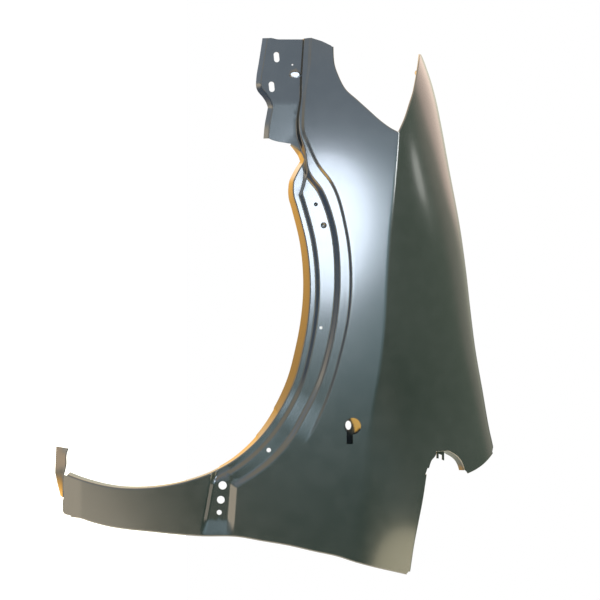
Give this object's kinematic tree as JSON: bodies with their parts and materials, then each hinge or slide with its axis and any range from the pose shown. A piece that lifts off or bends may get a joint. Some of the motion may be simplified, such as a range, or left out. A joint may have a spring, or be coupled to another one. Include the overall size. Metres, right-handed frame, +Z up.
{
  "type": "car front fender panel",
  "caption": "Left front fender of a small car: a pressed steel sheet with a flanged wheel arch, lamp and cowl cut-outs, bonnet ledge and bolt-on tabs.",
  "frame": {"origin": "outer side of the front mounting flange, midway between its two slots", "axes": "+X towards the rear of the car, +Y inboard, +Z up; the outer side faces -Y"},
  "size_m": [0.9216, 0.2159, 0.7612],
  "materials": {
    "black_primer": "black electro-coat primer with a satin gloss on steel sheet"
  },
  "bodies": {
    "root": {"fender_panel": "black_primer"}
  },
  "joints": []
}
